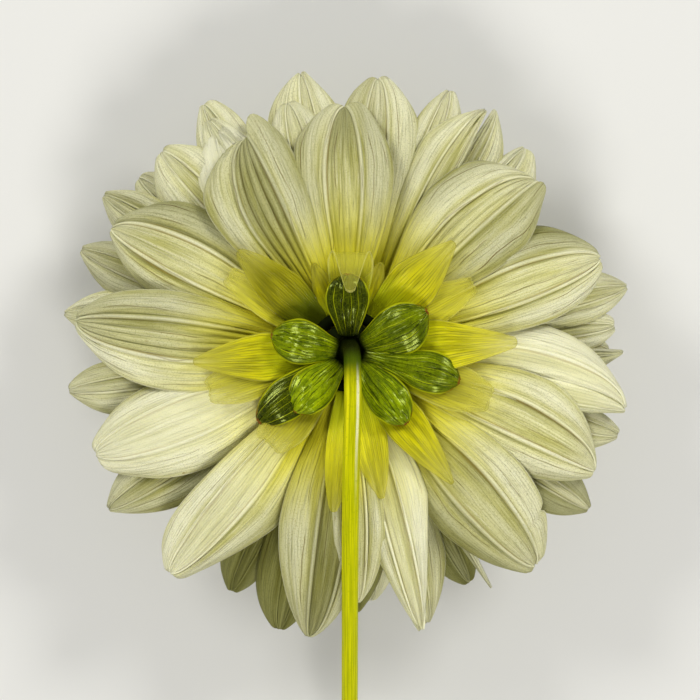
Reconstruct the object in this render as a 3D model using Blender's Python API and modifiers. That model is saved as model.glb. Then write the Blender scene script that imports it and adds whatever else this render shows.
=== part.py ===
# A cut dahlia bloom lying face down, with its stalk running out over the back petals.
# Run it with: blender --background --python part.py
# Metres, +Z up. The origin is on the surface, under the middle of the bloom; the stalk runs towards -Y.
import math

import bmesh
import bpy
from mathutils import Vector

MM = 0.001

PETAL_THICKNESS = 0.6 * MM
GOLDEN_ANGLE = 137.508
# The bloom rests on the flat spot in its closed middle: no petal's middle surface is lower than this, in mm
LOWEST_PETAL = 1.3

# A blade's outline: where it is widest along its length, how it widens up to there and narrows past it
WIDEST_AT = 0.64
WIDENING_POWER = 1.2
NARROWING = 0.84
NARROWING_POWER = 2.6
# Its end is rounded by drawing the edges back: how far, and from where along its length
ROUNDING = 0.42
ROUNDING_FROM = 0.6

# Back petals, the row nearest the stalk, seen whole from behind.
# Each: tip angle from +X in degrees, reach from the axis in mm, width in mm,
# how far the base is turned from the tip in degrees, and how high it lies over its neighbours in mm
BACK_PETALS = (
    (91, 51.0, 20.4, -1, 2.0), (42, 55.5, 18.8, 2, 1.6), (19, 56.0, 17.0, 0, 1.0),
    (347.5, 60.8, 14.5, 14, 0.0), (334, 58.7, 19.5, 5, 0.8), (311, 60.8, 19.0, 2, 1.6),
    (284.5, 61.7, 13.0, 0, 2.2), (273, 53.8, 13.0, 0, 2.8), (262, 61.5, 15.0, 3, 2.6),
    (231, 61.3, 17.6, 3, 1.6), (202, 58.1, 17.5, 3, 0.6), (174.5, 58.5, 19.8, 1, 1.4),
    (152, 56.8, 17.6, -1, 0.4), (117, 52.3, 18.4, -1, 1.6),
)
BACK_ROW = {
    "base": (8.0, 31.4), "belly": (0.5, 40.0), "tip": 27.0, "cells": (6, 3), "cup": 0.16, "root_share": 0.30,
}

# Petals behind them, of which only the tips show between the back petals: the same values
TIP_PETALS = (
    (83.5, 58.0, 16.0, 0, 2.2), (69, 58.7, 12.8, 2, 1.0), (60, 58.9, 13.0, 9, 2.4),
    (57.5, 59.2, 11.0, 2, 0.2), (48.5, 57.2, 11.0, 0, 0.8), (13, 60.5, 12.0, 0, 2.0),
    (4.5, 56.9, 12.0, 0, 1.0), (359.5, 58.2, 7.5, 0, 0.0), (343, 60.0, 12.0, 2, 1.4),
    (328, 61.4, 13.2, 2, 1.8), (299, 57.5, 11.0, 0, 0.0), (286, 59.8, 14.0, 0, 1.8),
    (271.5, 55.9, 12.8, 0, 0.4), (255, 61.2, 13.0, 0, 1.2), (244.5, 56.9, 11.0, 0, 0.0),
    (214.5, 61.0, 13.6, 3, 1.4), (188, 60.0, 13.0, 2, 1.2), (172.5, 61.0, 12.8, 0, 1.2),
    (160.5, 60.2, 13.2, 0, 1.0), (148, 60.8, 12.6, 0, 0.4), (140.5, 57.4, 11.0, 0, -0.4),
    (132, 57.6, 13.4, 0, 2.2), (121, 60.5, 13.0, 0, -0.4), (125, 53.6, 11.0, 0, 1.2),
    (105.5, 53.6, 11.4, 0, 1.4), (100.5, 59.8, 15.4, 0, 0.0),
)
TIP_ROW = {
    "base": (8.5, 28.4), "belly": (0.5, 34.6), "tip": 21.0, "cells": (5, 2), "cup": 0.14, "root_share": 0.30,
}

# The face of the bloom: a spiral by the golden angle, from wide spreading petals to the closed middle.
# Each value goes from the outermost petal to the innermost one, in mm
FACE_COUNT = 54
FACE_REACH = (56.0, 5.5)
FACE_WIDTH = (16.0, 6.2)
FACE_ROOT_RADIUS = (9.4, 4.4)
FACE_ROOT_HEIGHT = (26.5, 6.0)
FACE_BELLY_RADIUS = (33.0, 9.6)
FACE_BELLY_SHARE = (0.90, 0.10)
FACE_CELLS = (4, 2)
FACE_CUP = 0.34
FACE_ROOT_SHARE = 0.42
# The face is a dome: how high its rim lies over the surface, and the rim's radius, in mm
DOME_RISE = 24.0
DOME_RADIUS = 60.0

# The core that the petals stand out of: radius and height in mm, from the back to the flat spot on the face
CORE_PROFILE = (
    (0.0, 31.0), (9.0, 31.0), (11.0, 28.0), (11.0, 22.0), (9.0, 12.0), (7.0, 4.0), (4.5, 0.0), (0.0, 0.0),
)
CORE_STEPS = 20

# Thin inner bracts that lie on the petals' backs: tip angle, reach, width, lift over the lowest bract
INNER_BRACTS = (
    (91, 21.5, 9.6, 0.9), (70, 20.0, 5.0, 0.0), (46, 32.0, 10.5, 0.4), (28, 29.4, 9.0, 0.0),
    (3, 35.6, 10.0, 0.6), (341, 31.0, 9.5, 0.0), (308, 35.6, 8.6, 0.4), (282.5, 32.0, 7.6, 0.0),
    (262, 34.2, 4.2, 0.0), (229, 25.5, 9.0, 0.4), (196, 30.4, 8.6, 0.0), (184, 32.4, 9.0, 0.6),
    (148, 30.0, 7.0, 0.0), (138, 31.6, 8.6, 0.5), (112, 20.0, 5.0, 0.0),
)
INNER_RING = {"inner": 6.4, "outer": 9.2, "low": 32.65, "high": 34.8}
INNER_CELLS = (4, 2)
INNER_ROOT_SHARE = 0.6
# How far an inner bract's root lies inside the ring, and how high it lies over the highest back petal
# at its tip and, on top of that, at its root
INNER_SINK = 1.6
INNER_CLEARANCE = 1.1
INNER_ROOT_RISE = 0.5
INNER_THICKNESS = 0.6 * MM
# The back petals' middle lines are taken as this long where an inner bract follows them
BACK_REACH = 58.0

# Fleshy outer bracts in a ring round the stalk: tip angle, reach, width, turn of the base, lift
OUTER_BRACTS = (
    (91, 16.4, 8.6, 0, 0.5), (27, 18.6, 9.4, 9, 0.8), (344.5, 24.0, 9.0, 4, 0.0),
    (308.5, 19.6, 9.4, 3, 0.8), (228, 17.4, 9.4, -3, 0.8), (218, 24.2, 8.0, -8, 0.0),
    (169, 16.5, 8.6, -6, 0.5),
)
OUTER_ROW = {
    "base": (4.2, 35.9), "belly": (0.5, 40.6), "tip": 39.3, "cells": (5, 4), "cup": 0.30, "root_share": 0.42,
}
OUTER_COLLAR = {"inner": 3.3, "outer": 6.0, "low": 35.2, "high": 36.6}
OUTER_THICKNESS = 1.2 * MM
RING_STEPS = 20

# The stalk's middle line, from the seat on the petals' core, over the bend, to the cut end on the
# surface. Each: X, Y, Z and radius in mm
STALK_ROUTE = (
    (0.0, 0.0, 31.3, 6.0), (0.0, 0.0, 33.2, 5.8), (0.1, 0.1, 34.6, 3.2), (0.2, 0.3, 36.6, 2.1),
    (0.4, 0.3, 39.0, 1.85), (0.65, -1.1, 41.9, 1.8), (0.75, -4.8, 43.3, 1.8), (0.75, -12.0, 43.5, 1.8),
    (0.4, -24.0, 42.4, 1.8), (0.2, -40.0, 39.6, 1.75), (0.15, -58.0, 34.8, 1.7), (0.1, -76.0, 28.4, 1.7),
    (0.0, -94.0, 20.0, 1.7), (-0.4, -110.0, 10.8, 1.75), (-0.9, -124.0, 2.1, 1.85),
)
STALK_BEVEL = 2

BLOOM_NAME = "dahlia_bloom"


def clear_scene():
    for item in list(bpy.data.objects):
        bpy.data.objects.remove(item)


def new_collection(name):
    collection = bpy.data.collections.new(name)
    bpy.context.scene.collection.children.link(collection)
    return collection


def finish(name, colour, roughness):
    material = bpy.data.materials.new(name)
    material.use_nodes = True
    shader = material.node_tree.nodes["Principled BSDF"]
    shader.inputs["Base Color"].default_value = (*colour, 1.0)
    shader.inputs["Roughness"].default_value = roughness
    shader.inputs["Metallic"].default_value = 0.0
    return material


def paint(data, material):
    data.materials.clear()
    data.materials.append(material)


def new_object(name, mesh, collection):
    item = bpy.data.objects.new(name, mesh)
    collection.objects.link(item)
    return item


def bezier(t, start, middle, end):
    return (1 - t) ** 2 * start + 2 * t * (1 - t) * middle + t ** 2 * end


def mix(start, end, share):
    return start + (end - start) * share


# The share of its width that a blade has at s, from its narrow root at 0 to its round tip at 1
def outline(s, root_share):
    if s < WIDEST_AT:
        return mix(root_share, 1.0, math.sin(0.5 * math.pi * s / WIDEST_AT) ** WIDENING_POWER)
    past = (s - WIDEST_AT) / (1 - WIDEST_AT)
    return math.sqrt(1.0 - NARROWING * past ** NARROWING_POWER)


# A blade is a point function of s, from root to tip, and u, from edge to edge. Its middle line is an
# arch in the plane through the flower's axis, which turns by its sweep on the way
def blade_place(blade):
    def place(s, u):
        radius = bezier(s, blade["root"][0], blade["belly"][0], blade["tip"][0])
        height = bezier(s, blade["root"][1], blade["belly"][1], blade["tip"][1])
        step = 0.02
        ahead = Vector((
            bezier(s + step, blade["root"][0], blade["belly"][0], blade["tip"][0]) - radius,
            bezier(s + step, blade["root"][1], blade["belly"][1], blade["tip"][1]) - height,
        )).normalized()
        half = 0.5 * blade["width"] * outline(s, blade["root_share"])
        fall = blade["cup"] * half * u * u
        rounding = ROUNDING * half * u * u * max(0.0, (s - ROUNDING_FROM) / (1 - ROUNDING_FROM))
        radius += ahead.y * fall - ahead.x * rounding
        height -= ahead.x * fall + ahead.y * rounding
        angle = math.radians(blade["angle"] + blade["sweep"] * (1 - s))
        point = Vector((
            radius * math.cos(angle) - half * u * math.sin(angle),
            radius * math.sin(angle) + half * u * math.cos(angle),
            max(height, LOWEST_PETAL),
        ))
        return point * MM
    return place


# A grid bent by the place function and cut into triangles before it gets its thickness
def blade_object(name, cells, place, thickness, collection):
    along, across = cells
    mesh = bpy.data.meshes.new(name)
    work = bmesh.new()
    bmesh.ops.create_grid(work, x_segments=along, y_segments=across, size=0.5)
    for vertex in work.verts:
        vertex.co = place(vertex.co.x + 0.5, 2.0 * vertex.co.y)
    bmesh.ops.triangulate(work, faces=work.faces)
    bmesh.ops.recalc_face_normals(work, faces=work.faces)
    work.to_mesh(mesh)
    work.free()
    blade = new_object(name, mesh, collection)
    shell = blade.modifiers.new("thickness", "SOLIDIFY")
    shell.thickness = thickness
    shell.offset = 0.0
    return blade


# A solid turned about the flower's axis from a profile at +X that runs down its outer side. A ring's
# profile is a loop, and a solid one starts and ends on the axis
def turned_object(name, profile, steps, collection):
    mesh = bpy.data.meshes.new(name)
    work = bmesh.new()
    corners = [work.verts.new((radius * MM, 0.0, height * MM)) for radius, height in profile]
    for upper, lower in zip(corners, corners[1:]):
        work.edges.new((upper, lower))
    if profile[0][0] > 0.0:
        work.edges.new((corners[-1], corners[0]))
    work.to_mesh(mesh)
    work.free()
    solid = new_object(name, mesh, collection)
    turn = solid.modifiers.new("turn", "SCREW")
    turn.steps = steps
    turn.render_steps = steps
    turn.use_merge_vertices = True
    turn.merge_threshold = 0.00001
    return solid


def as_plain_mesh(item):
    graph = bpy.context.evaluated_depsgraph_get()
    plain = bpy.data.meshes.new_from_object(item.evaluated_get(graph))
    item.modifiers.clear()
    item.data = plain


# The outer skin is the largest connected body: sealed hollows and scraps are the others
def keep_outer_skin(mesh):
    work = bmesh.new()
    work.from_mesh(mesh)
    bmesh.ops.triangulate(work, faces=work.faces)
    left = set(work.faces)
    bodies = []
    while left:
        front = [left.pop()]
        body = set(front)
        while front:
            for edge in front.pop().edges:
                for face in edge.link_faces:
                    if face in left:
                        left.remove(face)
                        body.add(face)
                        front.append(face)
        bodies.append(body)
    bodies.sort(key=len)
    for body in bodies[:-1]:
        bmesh.ops.delete(work, geom=list(body), context="FACES")
    loose = [vertex for vertex in work.verts if not vertex.link_faces]
    bmesh.ops.delete(work, geom=loose, context="VERTS")
    work.to_mesh(mesh)
    work.free()


# One union joins a core and all the blades of a collection
def fuse(core, blades):
    union = core.modifiers.new("union", "BOOLEAN")
    union.operation = "UNION"
    union.operand_type = "COLLECTION"
    union.collection = blades
    union.solver = "MANIFOLD"
    as_plain_mesh(core)
    for item in list(blades.objects):
        bpy.data.objects.remove(item)
    bpy.data.collections.remove(blades)
    keep_outer_skin(core.data)


# The blades of a row that is listed one by one
def listed_blades(blades, row):
    for number, (angle, reach, width, sweep, lift) in enumerate(blades):
        root_radius, root_height = row["base"]
        belly_share, belly_height = row["belly"]
        yield number, {
            "root": (root_radius, root_height),
            "belly": (mix(root_radius, reach, belly_share), belly_height + lift),
            "tip": (reach, row["tip"] + lift),
            "width": width, "root_share": row["root_share"], "cup": row["cup"],
            "angle": angle, "sweep": sweep,
        }


# The petals of the face, whose tips follow the dome and whose roots follow the core
def face_petals():
    for number in range(FACE_COUNT):
        inward = number / (FACE_COUNT - 1)
        reach = mix(*FACE_REACH, inward)
        root_height = mix(*FACE_ROOT_HEIGHT, inward)
        tip_height = DOME_RISE * (reach / DOME_RADIUS) ** 3
        belly_height = mix(tip_height, root_height, mix(*FACE_BELLY_SHARE, inward))
        yield number, {
            "root": (mix(*FACE_ROOT_RADIUS, inward), root_height),
            "belly": (mix(*FACE_BELLY_RADIUS, inward), belly_height),
            "tip": (reach, tip_height),
            "width": mix(*FACE_WIDTH, inward), "root_share": FACE_ROOT_SHARE, "cup": FACE_CUP,
            "angle": number * GOLDEN_ANGLE, "sweep": 0.0,
        }


# The height of the highest back petal's middle surface at a distance from the axis
def back_height(radius):
    highest = max(petal[4] for petal in BACK_PETALS)
    root_radius, root_height = BACK_ROW["base"]
    share = max(0.0, (radius - root_radius) / (BACK_REACH - root_radius))
    return bezier(share, root_height, BACK_ROW["belly"][1] + highest, BACK_ROW["tip"] + highest)


# An inner bract follows the petals' backs
def inner_bract_place(angle, reach, width, lift):
    def place(s, u):
        half = 0.5 * width * outline(s, INNER_ROOT_SHARE)
        radius = mix(INNER_RING["outer"] - INNER_SINK, reach, s) - 0.5 * half * u * u * s
        height = back_height(radius) + INNER_CLEARANCE + lift * s + INNER_ROOT_RISE * (1 - s)
        turn = math.radians(angle)
        return MM * Vector((
            radius * math.cos(turn) - half * u * math.sin(turn),
            radius * math.sin(turn) + half * u * math.cos(turn),
            height,
        ))
    return place


def ring_profile(ring):
    inner, outer, low, high = (ring[key] for key in ("inner", "outer", "low", "high"))
    return ((outer, high), (outer, low), (inner, low), (inner, high))


def make_petals(bloom):
    blades = new_collection("petal_blades")
    for number, petal in listed_blades(BACK_PETALS, BACK_ROW):
        blade_object(f"back_{number}", BACK_ROW["cells"], blade_place(petal), PETAL_THICKNESS, blades)
    for number, petal in listed_blades(TIP_PETALS, TIP_ROW):
        blade_object(f"tip_{number}", TIP_ROW["cells"], blade_place(petal), PETAL_THICKNESS, blades)
    for number, petal in face_petals():
        blade_object(f"face_{number}", FACE_CELLS, blade_place(petal), PETAL_THICKNESS, blades)
    petals = turned_object("petals", CORE_PROFILE, CORE_STEPS, bloom)
    fuse(petals, blades)
    paint(petals.data, finish("cream_petal", (0.80, 0.78, 0.60), 0.55))


def make_inner_bracts(bloom):
    blades = new_collection("inner_blades")
    for number, (angle, reach, width, lift) in enumerate(INNER_BRACTS):
        place = inner_bract_place(angle, reach, width, lift)
        blade_object(f"inner_{number}", INNER_CELLS, place, INNER_THICKNESS, blades)
    bracts = turned_object("inner_bracts", ring_profile(INNER_RING), RING_STEPS, bloom)
    fuse(bracts, blades)
    paint(bracts.data, finish("yellow_green_bract", (0.58, 0.55, 0.06), 0.45))


def make_outer_bracts(bloom):
    blades = new_collection("outer_blades")
    for number, bract in listed_blades(OUTER_BRACTS, OUTER_ROW):
        blade_object(f"outer_{number}", OUTER_ROW["cells"], blade_place(bract), OUTER_THICKNESS, blades)
    bracts = turned_object("outer_bracts", ring_profile(OUTER_COLLAR), RING_STEPS, bloom)
    fuse(bracts, blades)
    paint(bracts.data, finish("green_bract", (0.10, 0.16, 0.02), 0.35))


# The stalk is one tube, wide at the seat on the petals' core and narrow past the bend
def make_stem(bloom):
    curve = bpy.data.curves.new("stem", "CURVE")
    curve.dimensions = "3D"
    curve.bevel_depth = MM
    curve.bevel_resolution = STALK_BEVEL
    curve.use_fill_caps = True
    route = curve.splines.new("POLY")
    route.points.add(len(STALK_ROUTE) - 1)
    for point, (x, y, z, radius) in zip(route.points, STALK_ROUTE):
        point.co = (x * MM, y * MM, z * MM, 1.0)
        point.radius = radius
    new_object("stem", curve, bloom)
    paint(curve, finish("yellow_green_stalk", (0.50, 0.52, 0.02), 0.5))


def main():
    clear_scene()
    bloom = new_collection(BLOOM_NAME)
    make_petals(bloom)
    make_inner_bracts(bloom)
    make_outer_bracts(bloom)
    make_stem(bloom)


main()
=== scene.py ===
import math
import random

import bmesh
import bpy
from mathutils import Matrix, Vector, noise


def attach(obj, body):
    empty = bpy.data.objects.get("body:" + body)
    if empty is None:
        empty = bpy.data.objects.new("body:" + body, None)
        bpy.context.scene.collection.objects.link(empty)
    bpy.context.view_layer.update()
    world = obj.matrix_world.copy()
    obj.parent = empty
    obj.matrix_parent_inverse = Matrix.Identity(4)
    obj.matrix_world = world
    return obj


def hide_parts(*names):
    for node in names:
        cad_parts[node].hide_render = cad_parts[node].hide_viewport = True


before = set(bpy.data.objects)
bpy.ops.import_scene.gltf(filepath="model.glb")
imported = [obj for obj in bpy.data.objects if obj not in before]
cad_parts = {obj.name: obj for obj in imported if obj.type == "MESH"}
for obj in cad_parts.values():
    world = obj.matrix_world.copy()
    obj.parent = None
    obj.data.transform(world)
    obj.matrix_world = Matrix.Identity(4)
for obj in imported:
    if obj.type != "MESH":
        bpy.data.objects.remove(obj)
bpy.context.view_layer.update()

# A cream dahlia bloom, laid face down, with its stalk running out over the back petals.
# Sizes are in mm and heights are over the surface; mm turns them to metres where a vertex is placed.
mm = 0.001
goldenAngle = 137.508
ribLine = 0.36           # where the two ribs of a petal run, as a share of its half width
seedRange = (0.0, 20.0)
seedSpread = 37.0        # how far apart two blades lie in the materials' noises
turnedWeld = 0.01 * mm   # vertices nearer than this are merged, in turned shapes and at the stalk's seam
seamWeld = 0.001 * mm
random.seed(7)
bpy.context.scene.view_settings.view_transform = "Standard"
print("dahlia: the CAD frame is loaded")


def mix(a, b, t):
    return a + (b - a) * t


def clamp(x, low=0.0, high=1.0):
    return max(low, min(high, x))


def smooth(low, high, x):
    t = clamp((x - low) / (high - low))
    return t * t * (3 - 2 * t)


def bell(x, width):
    return math.exp(-(x / width) ** 2)


def bezier(t, a, b, c):
    return (1 - t) ** 2 * a + 2 * t * (1 - t) * b + t * t * c


def between(table, t):
    # reads a table of (position, value) pairs with straight lines in between
    for (x0, y0), (x1, y1) in zip(table, table[1:]):
        if t <= x1:
            return mix(y0, y1, clamp((t - x0) / (x1 - x0)))
    return table[-1][1]


def even(tone):
    return (tone, tone, tone)


# Camera, floor and light: places and sizes in metres, lens and sensor in mm

studio = {
    "cameraPlace": (0.0002, 0.0002, 0.928), "lens": 216.8, "sensor": 36.0, "nearest": 0.01,
    "floorSize": 6.0, "floorColour": (0.80, 0.80, 0.77), "floorRoughness": 0.8,
    "sky": (1.0, 1.0, 1.0), "skyStrength": 0.26, "lightsAim": (0.0, 0.0, 0.02),
    # name, place, size, power in W, colour
    "lights": [
        ("topLeft", (-0.85, 0.75, 0.85), 0.45, 8.0, (1.0, 0.99, 0.96)),
        ("topRight", (0.85, 0.75, 0.85), 0.45, 8.7, (1.0, 0.99, 0.96)),
        ("below", (0.15, -1.05, 0.95), 0.5, 9.4, (1.0, 0.98, 0.95)),
    ],
}


def setStudio():
    scene = bpy.context.scene
    view = bpy.data.cameras.new("camera")
    view.sensor_width = studio["sensor"]
    view.lens = studio["lens"]
    view.clip_start = studio["nearest"]
    camera = bpy.data.objects.new("camera", view)
    camera.location = studio["cameraPlace"]
    scene.collection.objects.link(camera)
    scene.camera = camera

    work = bmesh.new()
    bmesh.ops.create_grid(work, x_segments=1, y_segments=1, size=studio["floorSize"] / 2)
    floorMesh = bpy.data.meshes.new("floor")
    work.to_mesh(floorMesh)
    work.free()
    floor = bpy.data.objects.new("floor", floorMesh)
    scene.collection.objects.link(floor)
    paper = {"Base Color": tint(studio["floorColour"]), "Roughness": studio["floorRoughness"]}
    floorMesh.materials.append(newMaterial("paper", paper)[0])

    world = bpy.data.worlds.new("studio")
    world.use_nodes = True
    sky = world.node_tree.nodes["Background"].inputs
    sky["Color"].default_value = tint(studio["sky"])
    sky["Strength"].default_value = studio["skyStrength"]
    scene.world = world
    for name, place, size, power, colour in studio["lights"]:
        lamp = bpy.data.lights.new(name, "AREA")
        lamp.shape = "DISK"
        lamp.size = size
        lamp.energy = power
        lamp.color = colour
        light = bpy.data.objects.new(name, lamp)
        light.location = place
        way = Vector(studio["lightsAim"]) - Vector(place)
        light.rotation_euler = way.to_track_quat("-Z", "Y").to_euler()
        scene.collection.objects.link(light)


# Material helpers: a socket is given a value, or another socket to follow

def put(tree, socket, value):
    if isinstance(value, bpy.types.NodeSocket):
        tree.links.new(value, socket)
    else:
        socket.default_value = value


def wired(tree, kind, sockets, **settings):
    made = tree.nodes.new(kind)
    for key, value in settings.items():
        setattr(made, key, value)
    for key, value in sockets.items():
        put(tree, made.inputs[key], value)
    return made


def calc(tree, operation, *values):
    return wired(tree, "ShaderNodeMath", dict(enumerate(values)), operation=operation).outputs[0]


def times(tree, a, b):
    return calc(tree, "MULTIPLY", a, b)


def timesPlus(tree, a, b, c):
    return calc(tree, "MULTIPLY_ADD", a, b, c)


def larger(tree, a, b):
    return calc(tree, "MAXIMUM", a, b)


def away(tree, a, b):
    return calc(tree, "ABSOLUTE", calc(tree, "SUBTRACT", a, b))


def ease(tree, value, low, high):
    # 0 at low and 1 at high, also where low is the larger one
    sockets = {"Value": value, "From Min": low, "From Max": high, "To Min": 0.0, "To Max": 1.0}
    return wired(tree, "ShaderNodeMapRange", sockets, interpolation_type="SMOOTHSTEP").outputs["Result"]


def blend(tree, share, a, b, **settings):
    return wired(tree, "ShaderNodeMix", {0: share, 6: a, 7: b}, data_type="RGBA", **settings).outputs[2]


def tint(colour):
    return (*colour, 1.0)


def painted(tree, colour, finish, layers):
    # lays paints over a colour: each layer is where it lies, how strong it is and its name in the finish
    for share, strength, paint in layers:
        colour = blend(tree, times(tree, share, strength), colour, tint(finish[paint]))
    return colour


def darkened(tree, colour, value):
    sockets = {"Color": colour, "Value": value, "Saturation": 1.05}
    return wired(tree, "ShaderNodeHueSaturation", sockets).outputs["Color"]


def cloud(tree, vector, scale, detail, roughness):
    sockets = {"Vector": vector, "Scale": scale, "Detail": detail, "Roughness": roughness}
    return wired(tree, "ShaderNodeTexNoise", sockets).outputs["Fac"]


def attribute(tree, name):
    return wired(tree, "ShaderNodeAttribute", {}, attribute_name=name).outputs["Fac"]


def xyz(tree, x, y, z):
    return wired(tree, "ShaderNodeCombineXYZ", {0: x, 1: y, 2: z}).outputs[0]


def objectPlace(tree):
    return wired(tree, "ShaderNodeTexCoord", {}).outputs["Object"]


def mapPlace(tree):
    place = wired(tree, "ShaderNodeUVMap", {}, uv_map="bladeMap").outputs["UV"]
    split = wired(tree, "ShaderNodeSeparateXYZ", {0: place})
    return split.outputs[0], split.outputs[1]


def bladeInputs(tree):
    # across is -1 to 1 from edge to edge, along 0 to 1 from root to tip, side 0 to 1 from middle to edge.
    # stretched() gives a noise that runs along the blade and differs from one blade to the next
    wide, along = mapPlace(tree)
    across = timesPlus(tree, wide, 2.0, -1.0)
    drift = times(tree, attribute(tree, "seed"), seedSpread)

    def stretched(acrossScale, alongScale, scale, detail=2.0, roughness=0.5, shift=0.0):
        x, y = times(tree, across, acrossScale), times(tree, along, alongScale)
        return cloud(tree, xyz(tree, x, y, calc(tree, "ADD", drift, shift)), scale, detail, roughness)

    return across, along, calc(tree, "ABSOLUTE", across), stretched


def comb(tree, across, count, sway, bend):
    # 0 on lines at even steps across, which the slow noise sway bends, and 1 midway between them
    lane = timesPlus(tree, sway, bend, times(tree, across, count))
    return calc(tree, "ABSOLUTE", calc(tree, "SINE", times(tree, lane, math.pi)))


def bump(tree, height, strength, distance):
    sockets = {"Strength": strength, "Distance": distance, "Height": height}
    return wired(tree, "ShaderNodeBump", sockets).outputs["Normal"]


def newMaterial(name, values):
    material = bpy.data.materials.new(name)
    material.use_nodes = True
    shader = material.node_tree.nodes["Principled BSDF"]
    for key, value in values.items():
        shader.inputs[key].default_value = value
    return material, material.node_tree, shader


def dress(tree, shader, sockets):
    for key, value in sockets.items():
        put(tree, shader.inputs[key], value)


petalFinish = {
    "cream": (0.81, 0.79, 0.41), "shade": (0.58, 0.56, 0.18), "olive": (0.25, 0.245, 0.035),
    "rib": (1.0, 0.985, 0.70), "vein": (0.36, 0.235, 0.045), "bruise": (0.36, 0.24, 0.05),
    # the second colour on this line darkens petals by their tone, as painted shade
    "tip": (1.0, 0.985, 0.72), "shadeTint": (0.27, 0.275, 0.11),
    # the yellow of the root, and how far along the petal it ends and is full
    "root": (0.88, 0.81, 0.02), "rootDark": (0.40, 0.37, 0.004), "rootEnd": 0.63, "rootFull": 0.20,
    "roughness": 0.37, "relief": 0.0004,
}


def petalMaterial():
    # cream tissue with two pale ribs, thin broken veins, a yellow root and a few brown dashes, with painted
    # shade in the valleys and painted highlights on the crests and edges
    finish = petalFinish
    material, tree, shader = newMaterial("petalCream", {
        "Subsurface Weight": 0.12, "Subsurface Radius": (1.0, 0.85, 0.35), "Subsurface Scale": 0.0008,
        "Specular IOR Level": 0.26, "Specular Tint": tint((1.0, 0.97, 0.60)), "Sheen Weight": 0.03,
    })
    across, along, side, stretched = bladeInputs(tree)
    tone, fold = attribute(tree, "tone"), attribute(tree, "fold")
    streaks = stretched(2.2, 0.9, 1.8, 3.0, 0.55)
    fibres = stretched(26.0, 4.0, 1.3, 3.0, 0.65)
    grain = stretched(20.0, 60.0, 1.6, 2.0, 0.7)
    pores = stretched(42.0, 110.0, 1.5, 1.0, 0.5, 3.0)
    spots = stretched(9.0, 7.0, 1.1, 3.0, 0.6, 11.0)

    def lines(count, bend, width, low, high, shift):
        # thin lines from root to tip, broken by a noise of their own
        sway = stretched(1.0, 2.5, 1.7, 1.0, 0.5, shift)
        broken = stretched(count, 3.0, 1.0, 2.0, 0.5, shift + 5.0)
        drawn = ease(tree, comb(tree, across, count, sway, bend), width, width * 0.15)
        return times(tree, drawn, ease(tree, broken, low, high))

    veins = times(tree, lines(4.2, 0.9, 0.10, 0.48, 0.58, 0.0), ease(tree, side, 0.97, 0.86))
    threads = lines(17.0, 2.4, 0.42, 0.40, 0.60, 9.0)
    ribs = times(tree, ease(tree, away(tree, side, ribLine), 0.040, 0.010), ease(tree, along, 0.15, 0.45))
    besideRibs = ease(tree, away(tree, side, ribLine - 0.045), 0.030, 0.006)
    grooves = times(tree, besideRibs, ease(tree, streaks, 0.38, 0.54))
    # besides a brown line at each rib, the grooves take painted shade in the deepest valleys
    grooves = larger(tree, grooves, times(tree, ease(tree, fold, 0.16, 0.0), 0.95))
    # painted shade where the relief is low
    paintedHollowShade = ease(tree, fold, 0.50, 0.06)

    colour = blend(tree, ease(tree, streaks, 0.32, 0.62), tint(finish["shade"]), tint(finish["cream"]))
    colour = painted(tree, colour, finish, [
        # painted shade in the low relief
        (paintedHollowShade, 0.62, "olive"),
        # painted highlight on the crests of the relief
        (ease(tree, fold, 0.58, 0.98), 0.75, "rib"),
        (ease(tree, along, 0.76, 1.0), 0.45, "tip"),
        (ease(tree, fibres, 0.50, 0.66), 0.36, "olive"),
        (ease(tree, fibres, 0.46, 0.32), 0.40, "rib"),
        (ease(tree, pores, 0.54, 0.68), 0.38, "olive"),
        (threads, 0.20, "olive"),
        (grooves, 0.60, "vein"),
        (veins, timesPlus(tree, tone, 0.25, 0.70), "vein"),
        # pale ribs, partly their own colour and partly a painted highlight
        (ribs, 0.45, "rib"),
        # painted highlight along the edges
        (ease(tree, side, 0.975, 0.998), 0.65, "rib"),
        (ease(tree, spots, 0.725, 0.75), 0.80, "bruise"),
    ])
    # the root's yellow lies over all of it, painted brighter than the tissue's own to stand in for light
    # shining through, and is darker in the veins and, as painted shade, in the low relief
    reach = calc(tree, "ADD", along, timesPlus(tree, fibres, 0.20, -0.10))
    dark = larger(tree, times(tree, paintedHollowShade, 0.8), times(tree, ease(tree, fibres, 0.48, 0.66), 0.5))
    dark = larger(tree, dark, times(tree, veins, 0.8))
    yellow = blend(tree, dark, tint(finish["root"]), tint(finish["rootDark"]))
    colour = blend(tree, ease(tree, reach, finish["rootEnd"], finish["rootFull"]), colour, yellow)
    # each petal has its own tone, mostly painted light and shade: below 0 it is paler, above 0 darker and
    # more olive
    colour = painted(tree, colour, finish, [(ease(tree, tone, 0.0, -1.0), 1.0, "rib")])
    shaded = blend(tree, 1.0, colour, tint(finish["shadeTint"]), blend_type="MULTIPLY")
    colour = blend(tree, times(tree, tone, 0.75), colour, shaded)

    height = timesPlus(tree, fibres, 0.6, times(tree, veins, -0.4))
    for layer, rise in ((threads, -0.2), (grain, 0.25), (ribs, 0.35)):
        height = timesPlus(tree, layer, rise, height)
    dress(tree, shader, {
        "Base Color": colour, "Roughness": timesPlus(tree, grain, 0.22, finish["roughness"]),
        "Normal": bump(tree, height, 1.0, finish["relief"]),
    })
    return material


# Blades: petals and bracts are grids bent by one function of s, from root to tip, and q, from edge to edge.
# Seen from above with the tip up, q is 1 at the left edge and -1 at the right one

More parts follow.
